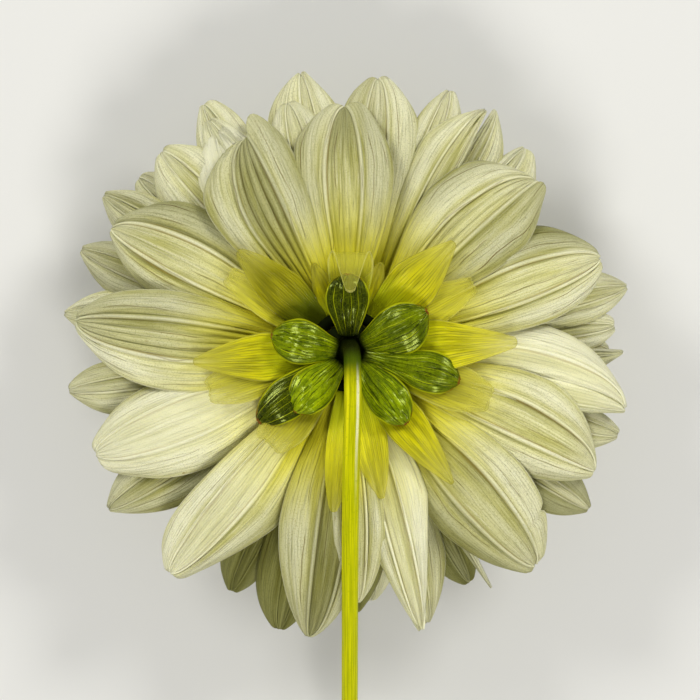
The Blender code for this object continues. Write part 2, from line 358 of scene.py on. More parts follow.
bladeDefaults = {
    "widen": 1.4, "rootShare": 0.24, "lowest": 0.25, "sweep": 0.0,
    "ribHeight": 0.4, "lobe": 0.75, "middle": 0.35, "fine": 0.06,
    "ridges": (),                # thin ridges, or grooves where negative: place across and height
    # painted shade: the middle of some petals is darker at the tip
    "tipTone": 0.0,              # how much darker the middle is at the tip
    "nicks": (),                 # small nicks in the left edge: place along and depth in mm
    # depth outside the left rib, inside it, inside the right rib and outside it
    "valleys": (0.3, 0.3, 0.3, 0.3),
    "wave": 0.6, "droop": 0.6, "notch": 0.35, "curl": 0.0,
    # painted light and shade per lobe; shadow and the root value below add painted shade under a neighbour's
    # edge and near the root
    "tone": (0.0, 0.0, 0.0),     # how dark the left lobe, the middle and the right lobe are
    "shadow": 0.0, "rootShade": 0.0,
}

# Shared by all blades: shares of the half width or of the length, counts, and heights in mm
bladeForm = {
    "ribWidth": 0.035, "ridgeWidth": 0.034, "notchWidth": 0.22, "nickLength": 0.012,
    "valleyStart": 0.06, "valleyFade": 0.22, "tipRelief": 0.55,
    # the ribs close in on each other from here on, this suddenly, and stay this far apart
    "ribsClose": 0.45, "ribsRate": 2.5, "ribsApart": 0.06,
    # fine folds between a rib and the edge and from rib to rib, and how much they vary and wander
    "lobeFolds": 3.5, "middleFolds": 1.5, "foldVariety": 1.4, "foldBend": 0.25,
    "uneven": 0.45, "ruffle": 0.03, "cornerRound": 0.42, "step": 0.02,
}

# How far an edge bends down: least where it lies over its neighbour, most where it lies under it
edgeCup = {1: 0.05, 0: 0.14, -1: 0.25}


def edgeOf(half, widest, full, end, past, rib, over=0):
    # half: width from the middle line; widest: where along the petal; full: how round the shoulder is;
    # end: share of the width left at the tip; past: how far the lobe passes the tip; rib: place of the rib;
    # over: 1 where the edge lies over its neighbour and -1 where it lies under it
    return dict(half=half, widest=widest, full=full, end=end, past=past, rib=rib, cup=edgeCup[over])


def bothSides(width, widest=0.63, full=1.9, end=0.2, cup=edgeCup[0]):
    half = 0.5 * width
    one = {**edgeOf(half, widest, full, end, 0.0, half * ribLine), "cup": cup}
    return {"left": one, "right": dict(one)}


def rootRise(b, edge, s):
    # the share of its width that a blade has on its way out from the root
    return mix(b["rootShare"], 1.0, math.sin(0.5 * math.pi * min(1.0, s / edge["widest"])) ** b["widen"])


def edgeShare(b, edge, s):
    if s < edge["widest"]:
        return rootRise(b, edge, s)
    beyond = (s - edge["widest"]) / (1.0 - edge["widest"])
    full = edge["full"]
    return (1.0 - beyond ** full * (1.0 - edge["end"] ** full)) ** (1.0 / full)


def ribShare(b, edge, s):
    near = max(0.0, (s - bladeForm["ribsClose"]) / (1.0 - bladeForm["ribsClose"])) ** bladeForm["ribsRate"]
    return rootRise(b, edge, s) * max(bladeForm["ribsApart"], math.sqrt(max(0.0, 1.0 - near)))


def bladeRelief(b, s, q):
    place = abs(q)
    grow = smooth(0.02, 0.30, s) * mix(1.0, bladeForm["tipRelief"], smooth(0.8, 1.0, s))
    height = b["ribHeight"] * bell(place - ribLine, bladeForm["ribWidth"])
    # a valley falls off steeply from its rib and rises slowly away from it
    outerLeft, innerLeft, innerRight, outerRight = b["valleys"]
    leftRib, rightRib = (q - ribLine, outerLeft, innerLeft), (-q - ribLine, outerRight, innerRight)
    for beside, outside, inside in (leftRib, rightRib):
        fall = smooth(0.0, bladeForm["valleyStart"], abs(beside))
        fall *= math.exp(-abs(beside) / bladeForm["valleyFade"])
        height -= (outside if beside > 0 else inside) * fall
    for middle, rise in b["ridges"]:
        height += rise * bell(q - middle, bladeForm["ridgeWidth"])
    if place > ribLine:
        inside = (place - ribLine) / (1.0 - ribLine)
        height += b["lobe"] * math.sin(math.pi * inside)
        vary = 0.9 + bladeForm["foldVariety"] * noise.noise(Vector((2.2 * s, 4.0 * q + b["seed"], 3.0)))
        bent = bladeForm["foldBend"] * noise.noise(Vector((1.6 * s, b["seed"], math.copysign(7.0, q))))
        folds = math.cos(2 * math.pi * bladeForm["lobeFolds"] * (inside + bent))
        height += b["fine"] * vary * folds * smooth(0.0, 0.15, inside) * smooth(1.0, 0.8, inside)
    else:
        height += b["middle"] * math.cos(0.5 * math.pi * q / ribLine)
        folds = math.cos(2 * math.pi * bladeForm["middleFolds"] * q / ribLine)
        height += b["fine"] * folds * smooth(0.0, 0.1, ribLine - place)
    slow = noise.noise(Vector((3.0 * s + b["seed"], 1.6 * q, b["seed"])))
    return grow * height + bladeForm["uneven"] * slow * smooth(0.1, 0.5, s)


def middleLine(b, s):
    # radius and height
    return [bezier(s, *values) for values in zip(b["root"], b["belly"], b["tip"])]


def turnedTo(degrees, radius, across, height):
    angle = math.radians(degrees)
    return Vector((
        radius * math.cos(angle) - across * math.sin(angle),
        radius * math.sin(angle) + across * math.cos(angle),
        height,
    )) * mm


def bladePoint(b, s, q):
    edge, sign = (b["left"], 1.0) if q > 0 else (b["right"], -1.0)
    outer = edge["half"] * edgeShare(b, edge, s)
    ruffle = noise.noise(Vector((4.5 * s, 2.0 * sign + b["seed"], 5.0 + b["seed"])))
    outer *= 1.0 + bladeForm["ruffle"] * ruffle * smooth(0.2, 0.5, s)
    for place, deep in b["nicks"]:
        outer -= deep * bell(s - place, bladeForm["nickLength"]) * (sign > 0)
    left = b["left"]["rib"] * ribShare(b, b["left"], s)
    right = -b["right"]["rib"] * ribShare(b, b["right"], s)
    inside = max(0.0, (abs(q) - ribLine) / (1.0 - ribLine))
    if inside > 0:
        across = mix(left if q > 0 else right, sign * outer, inside)
    else:
        across = mix(right, left, 0.5 + 0.5 * q / ribLine)
    share = across / max(outer, 0.1) * sign

    radius, height = middleLine(b, s)
    nextRadius, nextHeight = middleLine(b, s + bladeForm["step"])
    ahead = Vector((nextRadius - radius, nextHeight - height)).normalized()
    rise = bladeRelief(b, s, q) - edge["cup"] * outer * share * share
    flutter = noise.noise(Vector((5.0 * s + 2.0 * sign, b["seed"], 9.0)))
    rise += b["wave"] * flutter * inside ** 2 * smooth(0.15, 0.55, s)
    rise -= b["droop"] * smooth(0.72, 1.0, s) ** 2 * (1.0 + 0.5 * share * share)
    rise += b["curl"] * smooth(0.55, 1.0, s) * inside ** 2
    # the tip's outline: a notch between the ribs, a lobe on each side, and round corners
    along = edge["past"] * math.sin(math.pi * inside ** 0.8)
    along -= bladeForm["cornerRound"] * edge["end"] * edge["half"] * inside ** 3
    along -= b["notch"] * bell(q, bladeForm["notchWidth"])
    along *= smooth(0.62, 1.0, s)
    radius += ahead.x * along - ahead.y * rise
    height += ahead.y * along + ahead.x * rise
    across -= b["root"][0] * math.sin(math.radians(b["sweep"])) * (1 - s) ** 1.5
    return turnedTo(b["angle"], radius, across, max(height, b["lowest"]))


def bladeShadeAndTone(b, s, q):
    # painted light and shade: each lobe's tone, darker where an edge lies under its neighbour, near the root
    # and in the middle at the tip
    left, middle, right = b["tone"]
    edge = b["left"] if q > 0 else b["right"]
    under = edge["cup"] / edgeCup[-1]
    dark = mix(middle, left if q > 0 else right, smooth(ribLine - 0.08, ribLine + 0.12, abs(q)))
    dark += b["shadow"] * under * smooth(0.45, 0.95, abs(q)) * smooth(0.30, 0.60, s)
    dark += b["rootShade"] * smooth(0.92, 0.62, s)
    dark += b["tipTone"] * smooth(0.55, 0.95, s) * smooth(ribLine + 0.05, ribLine - 0.15, abs(q))
    return clamp(dark, -1.0, 1.33)


def addPiece(name, work, material, replaced, thickness=None):
    mesh = bpy.data.meshes.new(name)
    work.to_mesh(mesh)
    work.free()
    mesh.materials.append(material)
    piece = bpy.data.objects.new(name, mesh)
    bpy.context.scene.collection.objects.link(piece)
    if thickness:
        shell = piece.modifiers.new("thickness", "SOLIDIFY")
        shell.thickness = thickness * mm
        shell.offset = 0.0
    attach(piece, "root")
    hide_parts(replaced)
    return piece


def mapFaces(faces, uv, spots):
    # smooth faces, with each vertex's place in the map
    for face in faces:
        face.smooth = True
        for loop in face.loops:
            loop[uv].uv = spots[loop.vert]


# grid rows are closer at the tip, and grid columns are closer at the ribs and edges
rowTable = [(0.0, 0.0), (0.55, 0.62), (0.8, 0.86), (0.92, 0.955), (1.0, 1.0)]
columnTable = [
    (0.0, 0.0), (0.24, 0.20), (0.36, 0.30), (0.46, 0.355),
    (0.50, 0.37), (0.62, 0.44), (0.88, 0.86), (1.0, 1.0),
]


def addBlades(name, blades, grid, material, replaced, thickness, placeOf=bladePoint):
    work = bmesh.new()
    uv = work.loops.layers.uv.new("bladeMap")
    seed, tone, fold = [work.verts.layers.float.new(key) for key in ("seed", "tone", "fold")]
    for blade in blades:
        made = bmesh.ops.create_grid(work, x_segments=grid[0], y_segments=grid[1], size=0.5)
        spots = {}
        for vertex in made["verts"]:
            s = between(rowTable, vertex.co.x + 0.5)
            across = 2.0 * vertex.co.y
            q = math.copysign(between(columnTable, abs(across)), across)
            spots[vertex] = ((q + 1.0) / 2.0, s)
            vertex.co = placeOf(blade, s, q)
            vertex[seed] = blade["seed"]
            vertex[tone] = bladeShadeAndTone(blade, s, q)
            vertex[fold] = blade.get("glass", clamp(0.5 + 0.7 * bladeRelief(blade, s, q)))
        mapFaces({face for vertex in made["verts"] for face in vertex.link_faces}, uv, spots)
    bmesh.ops.recalc_face_normals(work, faces=work.faces)
    addPiece(name, work, material, replaced, thickness)


backPetals = {
    "thickness": 0.36, "grid": (60, 50), "shadow": 0.50, "rootShade": 0.0, "valleys": (0.15, 0.90),
    "ribHeight": 0.38, "root": (8.0, 31.4), "bellyShare": 0.5, "bellyHeight": 40.0, "tipHeight": 27.0,
    # tip angle, reach, lift, turn of the root, the left edge and the right edge as in edgeOf(), and changes
    # the tones in the changes are painted light and shade, set per lobe
    "petals": [
        (91, 52.4, 2.0, -1, (11.0, 0.80, 2.4, 0.50, 0.8, 5.0, 0), (10.2, 0.69, 1.5, 0.60, 1.2, 3.6, 1),
         {"middle": 0.2, "lobe": 0.8, "tone": (0.4, 0.25, 0.55), "tipTone": 0.7, "notch": 0.9,
          "valleys": (0.2, 0.5, 0.5, 0.2), "ridges": ((0.02, -0.4), (0.2, -0.25))}),
        (42, 54.6, 1.6, 2, (14.3, 0.67, 2.5, 0.15, -0.2, 7.2, -1), (8.5, 0.74, 1.4, 0.45, 1.0, -1.0, 1),
         {"lobe": 0.9, "droop": 1.2, "tone": (0.2, 0.15, 0.6), "notch": 0.2,
          "ridges": ((0.1, -0.3), (-0.12, -0.3), (-0.62, -0.4))}),
        (20.2, 57.4, 1.0, 0, (11.5, 0.74, 2.2, 0.40, -0.1, 5.1, -1), (8.7, 0.66, 2.1, 0.30, 0.0, 3.2, 1),
         {"tone": (0.6, 0.0, 0.15), "ridges": ((0.04, -0.2),)}),
        (348, 60.6, 0.0, 9, (14.4, 0.58, 1.85, 0.10, 0.0, 9.0, -1), (3.0, 0.70, 1.2, 0.25, 0.0, 1.2, -1),
         {"tone": (-0.5, -0.4, 0.1), "shadow": 0.0, "valleys": (0.15, 0.45, 0.15, 0.5)}),
        (334, 58.6, 1.2, 3, (13.2, 0.66, 1.6, 0.10, 0.0, 7.2, 1), (8.0, 0.64, 1.7, 0.32, 0.0, 0.8, -1),
         {"notch": 0.0}),
        (311, 60.9, 1.6, 2, (11.8, 0.63, 2.0, 0.35, -0.2, 5.0, 1), (10.2, 0.63, 1.75, 0.35, 0.6, 4.0, -1),
         {"tone": (0.15, 0.4, 0.5), "nicks": ((0.86, 1.1),)}),
        (284.5, 61.5, 2.0, 0, (8.5, 0.47, 1.05, 0.07, 0.0, 2.7, 1), (5.5, 0.60, 1.25, 0.09, 0.0, 1.9, -1),
         {"curl": 1.4, "ribHeight": 0.7, "notch": 0.0, "valleys": (0.2, 0.7, 0.5, 0.4),
          "tone": (-0.5, -0.3, -0.2)}),
        (272, 53.8, 3.6, 0, (6.3, 0.66, 1.5, 0.10, 0.0, 2.5, 1), (5.0, 0.66, 1.5, 0.10, 0.0, 2.5, 0), {}),
        (262, 61.7, 2.6, 2, (9.0, 0.60, 1.8, 0.10, 0.0, 5.0, 0), (9.5, 0.56, 1.5, 0.10, 0.0, 1.4, 1),
         {"ribHeight": 0.8, "fine": 0.12, "notch": 0.0, "tone": (0.15, 1.0, 0.5)}),
        (231, 61.1, 1.6, 3, (11.7, 0.58, 1.15, 0.30, 0.0, 4.2, -1), (7.2, 0.75, 2.1, 0.28, 0.0, 2.8, 1),
         {"ribHeight": 0.3, "ridges": ((0.1, -0.25), (-0.12, -0.2)), "valleys": (0.6, 0.1, 0.4, 0.1),
          "tone": (0.1, -0.4, -0.3)}),
        (202, 58.6, 0.6, 3, (11.8, 0.60, 1.7, 0.50, 0.0, 5.0, -1), (9.0, 0.70, 1.85, 0.40, 0.3, 4.3, -1),
         {"ribHeight": 0.25, "valleys": (0.5, 0.1, 0.3, 0.1), "notch": 0.2, "tone": (-0.4, -0.5, -0.5),
          "ridges": ((0.2, -0.25), (0.04, -0.3), (-0.12, -0.25), (0.6, -0.2))}),
        (173.7, 58.8, 1.4, 1, (12.8, 0.57, 1.7, 0.20, 0.0, 6.1, 1), (8.5, 0.63, 2.0, 0.30, 0.2, 2.5, 1),
         {"notch": 0.0, "ribHeight": 0.6, "tone": (-0.05, 0.45, 0.5), "valleys": (0.3, 0.5, 0.6, 0.6),
          "ridges": ((0.16, -0.7), (0.0, -0.6), (-0.14, -0.5))}),
        (152.8, 57.3, 0.4, -1, (8.2, 0.72, 1.6, 0.15, 0.0, 2.5, -1), (12.8, 0.68, 2.0, 0.30, 0.2, 5.8, -1),
         {"notch": 0.0, "ribHeight": 0.5, "tone": (0.05, 0.15, 0.55), "valleys": (1.1, 0.1, 0.2, 1.3),
          "ridges": ((0.03, 0.4),)}),
        (115.5, 50.4, 2.5, -1, (14.2, 0.74, 3.0, 0.40, 0.3, 8.1, 1), (7.5, 0.88, 2.2, 0.92, 5.2, 1.0, 0),
         {"middle": 0.25, "tone": (0.4, 0.85, 0.42), "notch": 0.0, "droop": 0.1,
          "ridges": ((0.2, -0.9), (0.04, -0.8), (-0.14, -0.8), (0.62, -0.4))}),
    ],
}

tipPetals = {
    # painted shade: these petals are darker towards their roots, which come out from under the back petals,
    # and the darkest tones are petals lying in the back petals' shadow
    "thickness": 0.36, "grid": (44, 34), "shadow": 0.20, "rootShade": 0.30, "valleys": (0.1, 0.5),
    "ribHeight": 0.26, "root": (8.5, 28.4), "bellyShare": 0.5, "bellyHeight": 34.6, "tipHeight": 21.0,
    "petals": [
        (84, 59.0, 2.2, 0, (7.0, 0.80, 2.0, 0.40, 0.3, 2.2), (10.5, 0.75, 2.0, 0.35, 0.7, 3.9),
         {"notch": 0.6, "tone": (0.3, 0.3, 0.2)}),
        (69, 60.1, 0.5, 2, (4.6, 0.80, 1.6, 0.20, 0.0, 1.4), (6.0, 0.80, 1.9, 0.40, 0.2, 2.2), {}),
        (60.3, 59.6, 2.9, 5, (8.8, 0.76, 1.5, 0.08, 0.0, 3.8), (1.2, 0.70, 1.0, 0.10, 0.0, 0.4),
         {"notch": 0.0}),
        (58.8, 60.8, 0.2, 2, (0.6, 0.80, 1.2, 0.60, 0.0, 0.3), (7.1, 0.82, 1.35, 0.05, 0.0, 3.0),
         {"notch": 0.0}),
        (49.2, 57.8, 0.8, 0, (2.6, 0.85, 1.6, 0.30, 0.0, 1.0), (9.3, 0.85, 1.6, 0.50, 0.5, 2.5), {}),
        (13, 61.4, 2.0, 0, (6.0, 0.80, 1.5, 0.12, 0.0, 2.0), (5.6, 0.80, 1.6, 0.12, 0.0, 2.0),
         {"tone": even(0.1)}),
        (5.5, 57.4, 1.0, 0, (4.5, 0.85, 1.8, 0.50, 0.0, 1.6), (5.0, 0.85, 1.7, 0.40, 0.0, 2.0), {}),
        (359.8, 59.1, 0.0, 0, (0.6, 0.90, 1.0, 0.50, 0.0, 0.3), (3.6, 0.90, 1.1, 0.10, 0.0, 1.4),
         {"notch": 0.0}),
        (342.8, 60.7, 1.4, 2, (3.9, 0.85, 1.7, 0.40, 0.0, 1.6), (5.6, 0.85, 1.6, 0.30, 0.0, 2.4),
         {"tone": even(0.15)}),
        (326.6, 61.8, 1.8, 2, (6.6, 0.80, 1.5, 0.20, 0.0, 1.6), (6.0, 0.83, 1.6, 0.20, 0.0, 1.5),
         {"tone": (0.8, 0.1, 0.9)}),
        (301, 59.4, 2.6, 0, (1.3, 0.70, 1.0, 0.10, 0.0, 0.4), (1.3, 0.70, 1.0, 0.10, 0.0, 0.4),
         {"notch": 0.0, "tone": (-0.5, 0.0, 0.6)}),
        (297.5, 56.2, 0.0, 0, (4.0, 0.85, 1.9, 0.40, 0.0, 1.6), (4.9, 0.85, 1.9, 0.40, 0.0, 1.8),
         {"tone": (1.3, 1.1, 1.3), "ridges": ((0.15, 0.5), (-0.15, 0.5))}),
        (286, 61.0, 1.8, 0, (8.0, 0.72, 1.4, 0.10, 0.0, 3.0), (5.0, 0.70, 1.4, 0.10, 0.0, 2.0),
         {"tone": even(0.3)}),
        (271, 56.4, 0.4, 0, (6.5, 0.78, 1.5, 0.30, 0.0, 2.0), (6.0, 0.80, 1.5, 0.30, 0.0, 2.0),
         {"tone": even(1.3)}),
        (256, 61.8, 1.2, 0, (5.0, 0.80, 1.8, 0.30, 0.0, 2.0), (8.0, 0.75, 2.0, 0.35, 0.0, 2.8),
         {"tone": even(1.3), "ridges": ((0.62, 0.5), (0.0, 0.5), (-0.6, 0.4))}),
        (244, 57.6, 0.0, 0, (4.2, 0.85, 1.8, 0.40, 0.0, 1.5), (5.8, 0.85, 1.8, 0.30, 0.0, 1.8),
         {"tone": even(1.33), "ridges": ((0.1, 0.5), (-0.6, 0.5))}),
        (213.3, 62.0, 1.4, 3, (8.3, 0.68, 1.5, 0.12, 0.0, 2.4), (6.5, 0.78, 1.6, 0.15, 0.0, 2.0),
         {"tone": even(0.4)}),
        (188, 61.0, 1.2, 2, (6.6, 0.82, 1.5, 0.15, 0.0, 2.0), (5.0, 0.83, 1.7, 0.30, 0.0, 1.6),
         {"tone": even(0.1)}),
        (172.5, 61.9, 1.2, 0, (5.5, 0.80, 1.4, 0.10, 0.0, 2.0), (6.2, 0.82, 1.5, 0.10, 0.0, 2.0), {}),
        (159.2, 61.7, 1.0, 0, (6.8, 0.80, 1.6, 0.20, 0.0, 2.4), (4.6, 0.82, 1.7, 0.25, 0.0, 1.6),
         {"tone": even(0.4)}),
        (147.6, 62.6, 0.4, 0, (5.6, 0.85, 1.5, 0.20, 0.0, 1.6), (5.6, 0.82, 1.6, 0.25, 0.2, 2.0),
         {"tone": even(0.3)}),
        (140.5, 58.7, -0.4, 0, (4.5, 0.90, 2.2, 0.60, 0.0, 1.6), (4.5, 0.90, 2.2, 0.60, 0.0, 1.6),
         {"tone": even(0.2)}),
        (133.2, 58.9, 1.8, 0, (8.0, 0.80, 2.0, 0.40, 0.0, 1.8), (7.8, 0.82, 2.0, 0.40, 0.5, 2.6), {}),
        (120.5, 61.8, -0.4, 0, (7.0, 0.78, 1.5, 0.20, 0.0, 2.0), (5.4, 0.84, 1.8, 0.60, 0.2, 2.0), {}),
        (121.5, 58.2, 2.2, 0, (5.2, 0.82, 1.8, 0.30, 0.1, 1.8), (6.0, 0.82, 1.7, 0.30, 0.1, 2.0),
         {"tone": even(-0.2)}),
        (121, 54.6, 4.2, 0, (10.0, 0.80, 2.2, 0.50, 0.3, 3.0), (6.5, 0.80, 2.2, 0.50, 0.6, 3.0),
         {"tone": (-0.6, -0.6, -0.2)}),
        (104, 54.9, 4.2, 0, (5.6, 0.80, 2.0, 0.40, 0.1, 2.0), (7.0, 0.80, 1.9, 0.40, 0.3, 2.6),
         {"tone": even(0.1)}),
        (100, 60.8, 0.0, 0, (9.0, 0.78, 1.8, 0.10, 0.2, 1.4), (7.6, 0.78, 1.3, 0.20, 0.4, 2.0),
         {"notch": 0.8}),
    ],
}


def rowBlade(row, angle, reach, lift, sweep, sides, changes):
    blade = dict(bladeDefaults, angle=angle, sweep=sweep, seed=random.uniform(*seedRange), **sides)
    blade.update({key: row[key] for key in ("root", "shadow", "rootShade", "ribHeight")})
    blade["belly"] = (mix(row["root"][0], reach, row["bellyShare"]), row["bellyHeight"] + lift)
    blade["tip"] = (reach, row["tipHeight"] + lift)
    # the deeper valleys are on the ribs' lower side in the picture
    right = 0.5 + 0.5 * math.cos(math.radians(angle))
    shallow, deep = row["valleys"]
    blade["valleys"] = (mix(deep, shallow, right), mix(shallow, deep, right)) * 2
    blade.update(changes)
    return blade


def makeBackPetals(material):
    for name, row in (("backPetals", backPetals), ("tipPetals", tipPetals)):
        blades = []
        for angle, reach, lift, sweep, left, right, changes in row["petals"]:
            sides = {"left": edgeOf(*left), "right": edgeOf(*right)}
            blades.append(rowBlade(row, angle, reach, lift, sweep, sides, changes))
        addBlades(name, blades, row["grid"], material, "petals", row["thickness"])
    print("dahlia: back petals made")


# The face: a spiral by the golden angle from wide spreading petals to the closed middle
facePetals = {
    "count": 54, "outerCount": 27, "outerGrid": (34, 22), "innerGrid": (26, 18), "thickness": 0.36,
    "domeRise": 24.0, "domeRadius": 60.0, "cup": 0.34, "rootShare": 0.42, "droop": 0.2, "tone": -0.3,
    # each pair is the value of the outermost petal and of the innermost one
    "pairs": {
        "reach": (56.0, 5.5), "width": (16.0, 6.2), "rootRadius": (9.4, 4.4), "rootHeight": (26.5, 6.0),
        "bellyRadius": (33.0, 9.6), "bellyShare": (0.90, 0.10), "relief": (1.0, 0.45),
    },
}

# Small scales close the middle, the innermost ones nearly upright
middleScales = {
    "count": 24, "grid": (16, 12), "rootHeight": 6.5, "swell": 1.5, "bellyHeight": 1.6, "relief": 0.5,
    "pairs": {"reach": (4.4, 0.5), "width": (4.6, 2.0), "rootRadius": (4.4, 0.8), "tipHeight": (0.9, 0.4)},
}


def inwards(row):
    # the row's values for each number, from the outermost to the innermost
    for number in range(row["count"]):
        share = number / (row["count"] - 1)
        yield number, {key: mix(*pair, share) for key, pair in row["pairs"].items()}


def makeFacePetals(material):
    reliefKeys = ("ribHeight", "lobe", "middle", "fine", "wave")
    petals, scales = [], []
    for number, own in inwards(facePetals):
        tipHeight = facePetals["domeRise"] * (own["reach"] / facePetals["domeRadius"]) ** 3
        petal = dict(
            bladeDefaults, angle=number * goldenAngle, **bothSides(own["width"], cup=facePetals["cup"]),
            root=(own["rootRadius"], own["rootHeight"]), tip=(own["reach"], tipHeight),
            belly=(own["bellyRadius"], mix(tipHeight, own["rootHeight"], own["bellyShare"])),
            rootShare=facePetals["rootShare"], droop=facePetals["droop"], tone=even(facePetals["tone"]),
            seed=random.uniform(*seedRange),
        )
        for key in reliefKeys + ("notch",):
            petal[key] *= own["relief"]
        petals.append(petal)
    for number, own in inwards(middleScales):
        scale = dict(
            petals[-1], angle=(facePetals["count"] + number) * goldenAngle, **bothSides(own["width"]),
            root=(own["rootRadius"], middleScales["rootHeight"]), tip=(own["reach"], own["tipHeight"]),
            belly=(own["reach"] + middleScales["swell"], middleScales["bellyHeight"]),
            seed=random.uniform(*seedRange),
        )
        for key in reliefKeys:
            scale[key] *= middleScales["relief"]
        scales.append(scale)
    for name, blades, grid in (
        ("faceOuterPetals", petals[:facePetals["outerCount"]], facePetals["outerGrid"]),
        ("faceInnerPetals", petals[facePetals["outerCount"]:], facePetals["innerGrid"]),
        ("middleScales", scales, middleScales["grid"]),
    ):
        addBlades(name, blades, grid, material, "petals", facePetals["thickness"])
    print("dahlia: face petals made")


def addTurned(name, profile, steps, material, replaced):
    # a solid turned about the flower's axis, from (radius, height) corners of its section
    work = bmesh.new()
    uv = work.loops.layers.uv.new("bladeMap")
    corners = [work.verts.new((radius * mm, 0.0, height * mm)) for radius, height in profile]
    edges = [work.edges.new(pair) for pair in zip(corners, corners[1:])]
    if profile[0][0] > 0.0:      # a section that keeps off the axis makes a ring, so its outline is closed
        edges.append(work.edges.new((corners[-1], corners[0])))
    bmesh.ops.spin(work, geom=corners + edges, cent=(0, 0, 0), axis=(0, 0, 1), angle=2 * math.pi,
                   steps=steps, use_merge=True)
    bmesh.ops.remove_doubles(work, verts=work.verts, dist=turnedWeld)
    mapFaces(work.faces, uv, dict.fromkeys(work.verts, (0.5, 0.02)))
    bmesh.ops.recalc_face_normals(work, faces=work.faces)
    addPiece(name, work, material, replaced)


petalCore = {
    "steps": 48,
    "profile": (
        (0.0, 30.6), (8.4, 30.6), (10.4, 27.8), (10.4, 22.0), (8.5, 12.0), (6.0, 6.6), (4.0, 4.6), (0.0, 4.0),
    ),
}


def makeCore(material):
    addTurned("petalCore", petalCore["profile"], petalCore["steps"], material, "petals")


innerBracts = {
    "thickness": 0.28, "grid": (40, 26), "rootRadius": 7.6, "rootShare": 0.6, "rootRise": 0.5,
    # the highest back petal's middle line, which the bracts follow: radii of its ends, and its heights
    "clearance": 1.0, "lineRadii": (8.0, 58.0), "lineHeights": (31.4, 42.8, 29.8), "lineStep": 0.3,
    # lengthwise pleats and folds: count from edge to edge and height; then other rises and the tip's curve
    "pleats": (19, 0.035), "folds": (3, 0.10), "uneven": 0.30, "edgeRise": 0.05, "tipCurve": 0.5,
    # how clear a bract is whose tip bends by more than this many degrees
    "clear": ((170, 1.0), (100, 0.45)),
    "ring": ((6.3, 33.7), (8.7, 33.7), (8.7, 32.5), (6.3, 32.5)), "ringSteps": 64,
    "outline": {"widest": 0.5, "full": 1.6, "end": 0.2},
    # tip angle, reach, width, lift, bend of the tip in degrees, its radius, straight end, outline, and tone,
    # which is painted light and shade
    "bracts": [
        (89, 21.3, 9.8, 1.2, 176, 2.6, 5.6, {"widest": 0.50, "full": 1.15}, 0.0),
        (70, 20.0, 5.6, 0.0, 20, 6.0, 0.0, {"full": 1.4, "end": 0.2}, 0.7),
        (46, 32.0, 11.0, 1.0, 10, 8.0, 0.0, {"widest": 0.56, "full": 1.3, "end": 0.15}, 0.50),
        (28, 29.8, 9.5, 0.0, 120, 1.0, 0.0, {"full": 1.5, "end": 0.3}, -0.3),
        (3, 35.6, 11.6, 1.1, 8, 8.0, 0.0, {"widest": 0.42, "full": 1.2, "end": 0.2}, 0.12),
        (341, 31.4, 10.0, 0.1, 110, 1.0, 0.0, {"widest": 0.7, "full": 2.2, "end": 0.4}, 0.40),
        (308, 35.6, 9.0, 0.9, 5, 8.0, 0.0, {"widest": 0.46, "full": 1.35, "end": 0.1}, 0.40),
        (282.5, 32.0, 8.2, 0.0, 5, 8.0, 0.0, {"full": 1.5, "end": 0.15}, -0.4),
        (264.5, 34.2, 6.0, 0.6, 5, 8.0, 0.0, {"full": 1.9, "end": 0.25}, -0.6),
        (229, 26.0, 10.5, 0.8, 130, 1.3, 0.0, {"widest": 0.7, "full": 2.0, "end": 0.4}, 0.5),
        (196, 30.8, 9.0, 0.0, 130, 1.2, 0.0, {"widest": 0.7, "full": 2.0, "end": 0.4}, 0.25),
        (184, 33.0, 10.4, 1.0, 12, 8.0, 0.0, {"widest": 0.46, "full": 1.35, "end": 0.14}, 0.40),
        (148, 30.0, 8.0, 0.0, 120, 1.0, 0.0, {"full": 1.9, "end": 0.4}, 0.05),
        (138, 31.6, 9.4, 1.0, 12, 8.0, 0.0, {"full": 1.5, "end": 0.2}, 1.1),
        (112, 20.0, 5.2, 0.0, 20, 6.0, 0.0, {"full": 1.4, "end": 0.2}, 0.7),
    ],
}


def bractMiddle(b, s):
    # out along the petals' backs, then round a bend, then straight on: radius, height and direction
    bend = math.radians(b["bend"])
    bendReach = b["bendRadius"] * min(1.0, math.sin(min(bend, math.pi / 2)))
    out = b["reach"] - bendReach - innerBracts["rootRadius"]
    way = s * (out + b["bendRadius"] * bend + b["endLength"])

    def onPetals(distance):
        radius = innerBracts["rootRadius"] + distance
        share = distance / out
        start, end = innerBracts["lineRadii"]
        height = bezier(max(0.0, (radius - start) / (end - start)), *innerBracts["lineHeights"])
        height += innerBracts["clearance"] + b["lift"] * smooth(0.0, 0.6, share)
        return radius, height + innerBracts["rootRise"] * (1 - share)

    radius, height = onPetals(min(way, out))
    before = onPetals(min(way, out) - innerBracts["lineStep"])
    turn = math.atan2(height - before[1], radius - before[0])
    if way > out:
        arc = min(bend, (way - out) / b["bendRadius"])
        radius += b["bendRadius"] * (math.sin(turn + arc) - math.sin(turn))
        height += b["bendRadius"] * (math.cos(turn) - math.cos(turn + arc))
        turn += arc
        rest = max(0.0, way - out - b["bendRadius"] * bend)
        radius += rest * math.cos(turn)
        height += rest * math.sin(turn)
    return radius, height, turn


